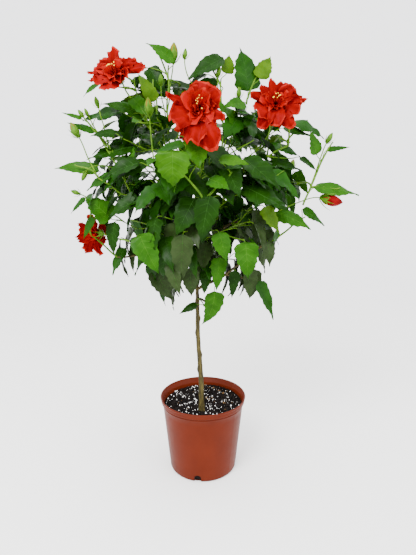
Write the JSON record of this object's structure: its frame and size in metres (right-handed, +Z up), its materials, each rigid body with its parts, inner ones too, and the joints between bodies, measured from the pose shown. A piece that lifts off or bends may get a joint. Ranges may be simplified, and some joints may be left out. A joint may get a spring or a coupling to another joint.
{
  "type": "potted hibiscus shrub",
  "caption": "Small standard hibiscus with an open round crown of leaves and double red flowers, on one thin trunk in a round plastic nursery pot.",
  "frame": {"origin": "middle of the pot's flat underside", "axes": "+Z up the trunk, -Y towards the plant's front, +X to the front's right"},
  "size_m": [0.7015, 0.5193, 1.0903],
  "materials": {
    "pot": "satin moulded terracotta polypropylene",
    "soil": "loose dark bark and peat mix with white perlite",
    "bark": "thin smooth olive-brown bark",
    "green_stem": "smooth green young stem",
    "foliage": "glossy green leaves",
    "bloom": "soft satin red petals"
  },
  "bodies": {
    "root": {"pot": "pot", "soil": "soil", "trunk": "bark", "top_left": "foliage", "top_middle": "foliage", "top_right": "foliage", "bloom_upper_left": "bloom", "bloom_upper_right": "bloom", "bloom_middle": "bloom", "bloom_lower_left": "bloom", "upper_left": "foliage", "upper_middle": "foliage", "upper_right": "foliage", "left_buds": "foliage", "left_upper": "foliage", "left_tip": "foliage", "left_shoulder": "foliage", "left_side": "foliage", "left_leaf": "foliage", "lower_left": "foliage", "inner_upper_left": "foliage", "inner_upper_right": "foliage", "middle_left": "foliage", "front_middle": "foliage", "front_left": "foliage", "front_right": "foliage", "middle": "foliage", "skirt_left": "foliage", "skirt_middle": "foliage", "skirt_right": "foliage", "lower_middle": "foliage", "right_heart": "foliage", "right_shoulder": "foliage", "right_shoot": "foliage", "right_tip": "foliage", "right_leaf": "foliage", "lower_right": "foliage", "inner_lower_right": "foliage", "low_right_leaf": "foliage", "low_curled_leaf": "foliage", "back_upper_left": "foliage", "back_upper_right": "foliage", "back_left": "foliage", "back_middle": "foliage", "back_right": "foliage", "back_lower_left": "foliage", "back_lower_right": "foliage", "bough_right_low": "bark", "bough_back_right": "bark", "bough_left_low": "bark", "bough_right": "bark", "bough_lower_left": "bark", "bough_back_left": "bark", "bough_left": "bark", "bough_front": "bark", "bough_back": "bark", "bough_upper_right": "bark", "bough_upper_left": "bark", "shoot_right": "green_stem", "shoot_top": "green_stem"}
  },
  "joints": []
}
